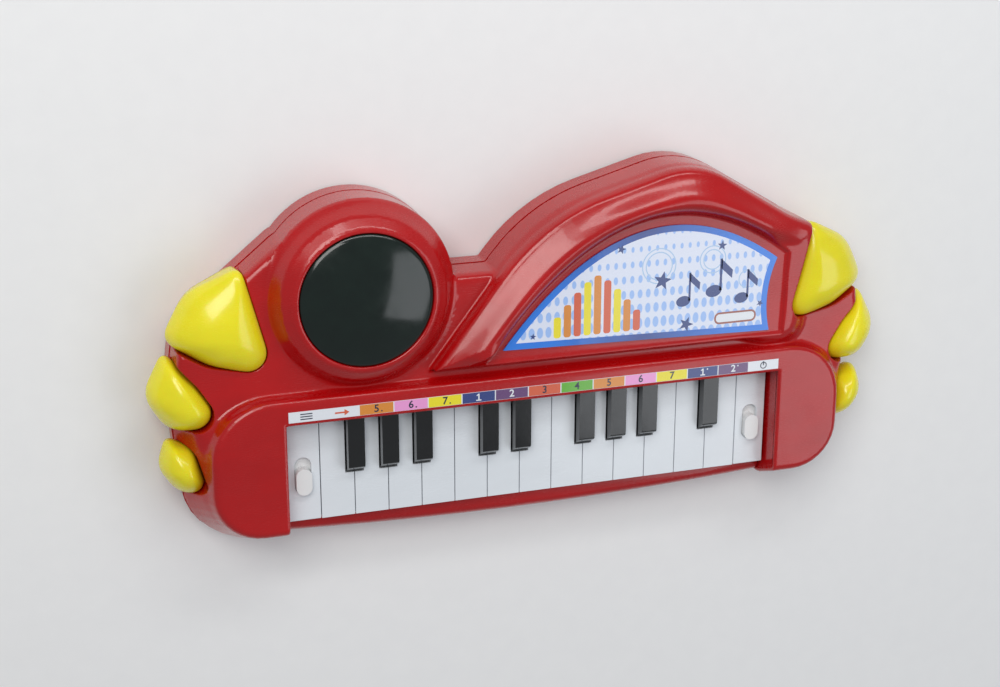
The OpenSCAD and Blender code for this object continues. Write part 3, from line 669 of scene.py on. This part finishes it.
class Print:
    """A printed piece: flat closed prisms, each with its own ink."""

    def __init__(self):
        self.verts, self.faces, self.inks, self.indices = [], [], [], []

    def prism(self, outline, low, high, ink):
        n, base = len(outline), len(self.verts)
        area = sum(outline[i - 1][0] * outline[i][1] - outline[i][0] * outline[i - 1][1] for i in range(n))
        outline = list(outline) if area > 0 else list(outline)[::-1]
        self.verts += [(x, y, low) for x, y in outline] + [(x, y, high) for x, y in outline]
        faces = [tuple(base + n - 1 - i for i in range(n)), tuple(base + n + i for i in range(n))]
        faces += [(base + i, base + (i + 1) % n, base + n + (i + 1) % n, base + n + i) for i in range(n)]
        self.add(faces, ink)

    def add(self, faces, ink):
        if ink not in self.inks:
            self.inks.append(ink)
        self.faces += faces
        self.indices += [self.inks.index(ink)] * len(faces)

    def band(self, outer, inner, low, high, ink):
        """A closed ring between two outlines with the same number of points."""
        n, base = len(outer), len(self.verts)
        for loop, z in ((outer, low), (outer, high), (inner, high), (inner, low)):
            self.verts += [(x, y, z) for x, y in loop]
        faces = []
        for j in range(4):
            a, b = base + j * n, base + (j + 1) % 4 * n
            faces += [(a + i, a + (i + 1) % n, b + (i + 1) % n, b + i) for i in range(n)]
        self.add(faces, ink)

    def text(self, word, x, y, size, low, high, ink):
        """A digit, as a solid; the one is drawn here, the others come from Blender's own font."""
        if word == "1":
            stroke = [(-0.3, -0.35), (0.3, -0.35), (0.3, -0.24), (0.09, -0.24), (0.09, 0.35), (-0.04, 0.35),
                      (-0.26, 0.2), (-0.2, 0.12), (-0.06, 0.2), (-0.06, -0.24), (-0.3, -0.24)]
            self.prism([(x + size * 0.85 * a, y + size * b) for a, b in stroke], low, high, ink)
            return
        curve = bpy.data.curves.new("digit", "FONT")
        curve.body, curve.size = word, size
        curve.align_x, curve.align_y = "CENTER", "CENTER"
        curve.extrude, curve.resolution_u, curve.offset = (high - low) / 2, 3, size * 0.02
        obj = bpy.data.objects.new("digit", curve)
        mesh = bpy.data.meshes.new_from_object(obj)
        base = len(self.verts)
        self.verts += [(x + v.co.x, y + v.co.y, (low + high) / 2 + v.co.z) for v in mesh.vertices]
        self.add([tuple(base + i for i in p.vertices) for p in mesh.polygons], ink)
        bpy.data.meshes.remove(mesh)
        bpy.data.objects.remove(obj)
        bpy.data.curves.remove(curve)

    def build(self, name, replaces):
        obj = add_mesh(name, self.verts, self.faces, self.inks, "case", replaces, self.indices)
        obj.data.polygons.foreach_set("use_smooth", [False] * len(obj.data.polygons))
        return obj


def inset(outline, by):
    """The outline moved inwards; points that come too near another stretch of it are dropped."""
    p = evened(list(outline), 600)
    along = np.roll(p, -1, axis=0) - np.roll(p, 1, axis=0)
    along /= np.linalg.norm(along, axis=1)[:, None]
    area = np.sum(p[:, 0] * np.roll(p[:, 1], -1) - np.roll(p[:, 0], -1) * p[:, 1])
    moved = p + np.column_stack([-along[:, 1], along[:, 0]]) * (by if area > 0 else -by)
    keep = outline_distance(outline)(moved[:, 0], moved[:, 1]) < 0.06 - by
    return [tuple(q) for q in moved[keep]]


def circle(x, y, r, steps=40):
    """A round outline."""
    return [(x + r * math.cos(math.tau * i / steps), y + r * math.sin(math.tau * i / steps))
            for i in range(steps)]


def star(x, y, r, tilt=0.0):
    """A five-pointed star's outline."""
    reach = [r if i % 2 == 0 else 0.42 * r for i in range(10)]
    turn = [tilt + i * math.pi / 5 for i in range(10)]
    return [(x + k * math.sin(a), y + k * math.cos(a)) for k, a in zip(reach, turn)]


def block(x0, y0, x1, y1):
    """A rectangle's outline."""
    return [(x0, y0), (x1, y0), (x1, y1), (x0, y1)]


INK = {
    "white": printed("ink_white", rgb(232, 236, 242)),
    "orange": printed("ink_orange", rgb(222, 142, 58)),
    "pink": printed("ink_pink", rgb(240, 160, 216)),
    "yellow": printed("ink_yellow", rgb(240, 226, 44)),
    "blue": printed("ink_blue", rgb(54, 70, 132)),
    "purple": printed("ink_purple", rgb(108, 74, 122)),
    "red": printed("ink_red", rgb(218, 102, 70)),
    "green": printed("ink_green", rgb(104, 180, 58)),
    "dark": printed("ink_dark", rgb(44, 50, 72)),
    "navy": printed("ink_navy", rgb(52, 72, 132)),
    "rust": printed("ink_rust", rgb(158, 92, 80)),
    "sky": printed("ink_sky", rgb(176, 206, 238)),
    "ground": printed("ink_ground", rgb(226, 233, 250), rgb(158, 192, 244)),
    "border": border_blue("ink_border"),
}


def strip_print():
    """The strip over the keys: fifteen fields with note numbers and plain marks."""
    fields = [("white", "lines"), ("white", "arrow"), ("orange", "5"), ("pink", "6"), ("yellow", "7"),
              ("blue", "1"), ("purple", "2"), ("red", "3"), ("green", "4"), ("orange", "5"),
              ("pink", "6"), ("yellow", "7"), ("blue", "1"), ("purple", "2"), ("white", "power")]
    art = Print()
    low, high = STRIP_LO[2], STRIP_HI[2]
    top = high + 0.04
    art.prism(block(STRIP_LO[0], STRIP_LO[1], STRIP_HI[0], STRIP_HI[1]), low, high - 0.06, INK["white"])
    width = (STRIP_HI[0] - STRIP_LO[0]) / len(fields)
    middle = (STRIP_LO[1] + STRIP_HI[1]) / 2
    for i, (colour, mark) in enumerate(fields):
        x = STRIP_LO[0] + width * (i + 0.5)
        half = width / 2 - 0.3
        if colour != "white":
            art.prism(block(x - half, STRIP_LO[1] + 0.15, x + half, STRIP_HI[1] - 0.15),
                      high - 0.06, high, INK[colour])
        ink = INK["white"] if colour in ("blue", "purple") else INK["dark"]
        if mark.isdigit():
            art.text(mark, x, middle, 5.4, high, top, ink)
            if i < 5:
                art.prism(circle(x + 2.6, middle - 1.4, 0.42, 16), high, top, ink)
            if i > 11:
                art.prism(circle(x + 2.6, middle + 1.4, 0.42, 16), high, top, ink)
        elif mark == "lines":
            for k in (-1, 0, 1):
                art.prism(block(x - 3, middle + 1.3 * k - 0.25, x + 3, middle + 1.3 * k + 0.25),
                          high - 0.06, top, INK["dark"])
        elif mark == "arrow":
            art.prism([(x + 3.8, middle), (x + 1.4, middle + 1.6), (x + 1.4, middle + 0.4),
                       (x - 3.4, middle + 0.4), (x - 3.4, middle - 0.4), (x + 1.4, middle - 0.4),
                       (x + 1.4, middle - 1.6)], high - 0.06, top, INK["red"])
        else:
            art.band(circle(x, middle, 1.9), circle(x, middle, 1.4), high - 0.06, top, INK["dark"])
            art.prism(block(x - 0.28, middle, x + 0.28, middle + 2.3), high - 0.06, top + 0.02, INK["dark"])
    return art.build("note_print", ["note_strip"])


def note_mark(art, x, y, size, low, high, ink):
    """A plain quaver: an oval head, a stem and a flag."""
    head = [(x + size * (0.26 * math.cos(a) - 0.05 * math.sin(a)), y + size * 0.19 * math.sin(a + 0.3))
            for a in (math.tau * k / 24 for k in range(24))]
    art.prism(head, low, high, ink)
    art.prism(block(x + size * 0.19, y, x + size * 0.27, y + size), low, high, ink)
    art.prism([(x + size * 0.23, y + size), (x + size * 0.62, y + size * 0.62),
               (x + size * 0.6, y + size * 0.36), (x + size * 0.23, y + size * 0.7)], low, high, ink)


def label_print():
    """The D-shaped label: a blue border round a dotted ground with plain musical marks."""
    art = Print()
    low, high = LABEL_LO[2], LABEL_HI[2]
    flat, top = high - 0.04, high + 0.03
    art.prism([tuple(q) for q in evened(LABEL_PLAN, 300)], low, flat, INK["border"])
    art.prism(inset(LABEL_PLAN, 3.3), flat, high, INK["ground"])
    for x, y, r in ((62, 41, 9.5), (62, 41, 7.5), (92, 42, 7.5), (92, 42, 5.5), (112, 30, 5)):
        art.band(circle(x, y, r), circle(x, y, r - 0.6), high, high + 0.015, INK["sky"])
    bars = [("yellow", 11), ("orange", 17), ("red", 23), ("yellow", 28), ("orange", 31), ("red", 28),
            ("yellow", 23), ("orange", 17), ("red", 11)]
    for i, (colour, tall) in enumerate(bars):
        x = 5 + 5.4 * i
        art.prism(rounded([(x, 8, 1.4), (x + 3.9, 8, 1.4), (x + 3.9, 8 + tall, 1.4), (x, 8 + tall, 1.4)]),
                  high, top, INK[colour])
    for x, y, size in ((76, 21, 15), (93, 25, 17), (109, 20, 15)):
        note_mark(art, x, y, size, high, top, INK["navy"])
    for x, y, r, tilt in ((64, 33, 5.2, 0.2), (78, 8.5, 4.2, 0.4), (97, 49, 2.8, 0.1), (41, 51.5, 2.6, 0.3),
                          (-6, 10, 1.8, 0.1), (120, 16, 2.0, 0.5)):
        art.prism(star(x, y, r, tilt), high, top, INK["navy"])
    pill = [(94, 6.6, 3), (118, 6.6, 3), (118, 13, 3), (94, 13, 3)]
    art.prism(rounded(pill), high, top - 0.01, INK["white"])
    inner = [(95, 7.6, 2), (117, 7.6, 2), (117, 12, 2), (95, 12, 2)]
    art.band(rounded(pill), rounded(inner), high, top + 0.01, INK["rust"])
    return art.build("label_print", ["label_panel"])


strip_print()
label_print()


# ---- carried-over pieces ----

for node in WHITE_KEYS + ["left_switch_panel", "right_switch_panel"]:
    dress(node, WHITE, 0.45)
for node in BLACK_KEYS:
    dress(node, BLACK, 0.5)
for node in ("mode_switch_knob", "power_switch_knob"):
    dress(node, KNOB, 0.9)
for node in ("lower_case", "battery_door"):
    dress(node, RED, 0.35)
for node in ("case_screws", "battery_door_screw", "key_hinge_rod", "speaker_frame",
             "mode_switch_body", "power_switch_body"):
    dress(node, STEEL, 0.15)
dress("battery_contacts", COPPER, 0.1)
dress("rubber_feet", DARK_RUBBER, 0.5)
for node in ("light_board", "key_contact_board", "main_board"):
    dress(node, BOARD, 0.1)
dress("lamp_leds", LAMP, 0.2)
dress("speaker_cone", PAPER, 0.1)
dress("speaker_magnet", MAGNET, 0.4)
dress("battery_cells", CELL_WRAP, 0.6)
for node in ("mode_switch_lever", "power_switch_lever"):
    dress(node, BLACK, 0.2)


# ---- the rubber strip under the keys: a flat pad, and a hollow dome under each key ----

RUBBER_LO, RUBBER_HI = box_mm("rubber_contacts")
PAD_T = 1


def contact_pad():
    """The long flat pad that the domes stand on."""
    pad = Print()
    outline = [(RUBBER_LO[0], RUBBER_LO[1], 2), (RUBBER_HI[0], RUBBER_LO[1], 2),
               (RUBBER_HI[0], RUBBER_HI[1], 2), (RUBBER_LO[0], RUBBER_HI[1], 2)]
    pad.prism(rounded(outline, 5), RUBBER_LO[2], RUBBER_LO[2] + PAD_T, GREY_RUBBER)
    soften(pad.build("contact_pad", ["rubber_contacts"]), 0.2)


def contact_dome(key):
    """The hollow dome under a key's plunger."""
    lo, hi = box_mm(key)
    place = ((lo[0] + hi[0]) / 2, (RUBBER_LO[1] + RUBBER_HI[1]) / 2)
    foot, top = RUBBER_LO[2] + PAD_T + 0.02, RUBBER_HI[2]
    profile = [(3.5, foot), (2.5, top - 0.35), (2.3, top - 0.08), (1.9, top), (0, top),
               (0, top - 0.7), (1.6, top - 0.8), (2.7, foot)]
    verts, faces = lathe(profile, place, 32)
    dome = add_mesh(key + "_dome", verts, faces, [GREY_RUBBER], "case", ["rubber_contacts"])
    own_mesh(dome)


contact_pad()
for key in WHITE_KEYS + BLACK_KEYS:
    contact_dome(key)


# ---- stage ----


def floor():
    """The pale paper that the toy stands on."""
    mesh = bpy.data.meshes.new("floor")
    r = 3.0
    mesh.from_pydata([(-r, -r, 0), (r, -r, 0), (r, r, 0), (-r, r, 0)], [], [(0, 1, 2, 3)])
    n = Nodes("floor_paper")
    grain = n.noise(0.08, 4)
    n.put(n.mix(grain, (0.84, 0.84, 0.84, 1), (0.88, 0.88, 0.875, 1)), n.shader.inputs["Base Color"])
    n.put(0.65, n.shader.inputs["Roughness"])
    mesh.materials.append(n.mat)
    obj = bpy.data.objects.new("floor", mesh)
    bpy.context.scene.collection.objects.link(obj)


def area_light(name, place, aim, size, power, colour=(1, 1, 1)):
    """A soft rectangular light, aimed at a point."""
    light = bpy.data.lights.new(name, "AREA")
    light.shape = "RECTANGLE"
    light.size, light.size_y = size
    light.energy = power
    light.color = colour
    obj = bpy.data.objects.new(name, light)
    obj.location = place
    away = obj.location - type(obj.location)(aim)
    obj.rotation_euler = away.to_track_quat("Z", "Y").to_euler()
    bpy.context.scene.collection.objects.link(obj)


floor()
area_light("key", (-0.7, 0.9, 1.3), (0, 0, 0), (0.9, 0.9), 13, (1.0, 0.985, 0.96))
area_light("fill", (0.95, -0.2, 1.2), (0, 0, 0), (1.1, 0.8), 5, (0.93, 0.96, 1.0))
area_light("strip", (0.1, 0.75, 0.55), (0, 0.05, 0.03), (0.9, 0.12), 2)

world = bpy.data.worlds.new("studio")
world.use_nodes = True
world.node_tree.nodes["Background"].inputs["Color"].default_value = (0.92, 0.95, 1.0, 1)
world.node_tree.nodes["Background"].inputs["Strength"].default_value = 0.33
scene = bpy.context.scene
scene.world = world
scene.view_settings.view_transform = "Standard"

camera_data = bpy.data.cameras.new("camera")
camera_data.lens = 61.87
camera_data.sensor_width = 36
camera = bpy.data.objects.new("camera", camera_data)
right, up, back = (0.94764, 0.00102, 0.31933), (0.09723, 0.95159, -0.29157), (-0.30417, 0.30735, 0.90167)
place = (-0.2846, 0.2722, 0.8128)
camera.matrix_world = Matrix([[right[i], up[i], back[i], place[i]] for i in range(3)] + [[0, 0, 0, 1]])
scene.collection.objects.link(camera)
scene.camera = camera
